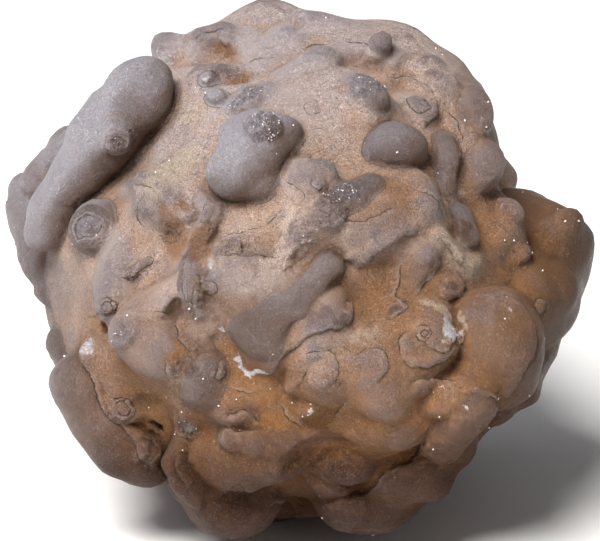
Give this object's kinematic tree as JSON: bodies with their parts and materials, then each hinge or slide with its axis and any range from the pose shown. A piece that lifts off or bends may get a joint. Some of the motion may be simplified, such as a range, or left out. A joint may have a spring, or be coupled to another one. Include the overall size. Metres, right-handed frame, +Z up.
{
  "type": "rough chalcedony nodule",
  "caption": "Rough, knobbly stone nodule with rounded lumps, rolls and ringed knobs; stands on a small flat underneath.",
  "frame": {"origin": "on the small flat underneath that the stone rests on, below the middle of the stone", "axes": "+Z up, +X to the right along the stone's width, -Y towards the show face"},
  "size_m": [0.0951, 0.087, 0.0838],
  "materials": {
    "chalcedony": "waxy rough stone, tan with lilac-grey lumps"
  },
  "bodies": {
    "root": {"chalcedony_nodule": "chalcedony"}
  },
  "joints": []
}
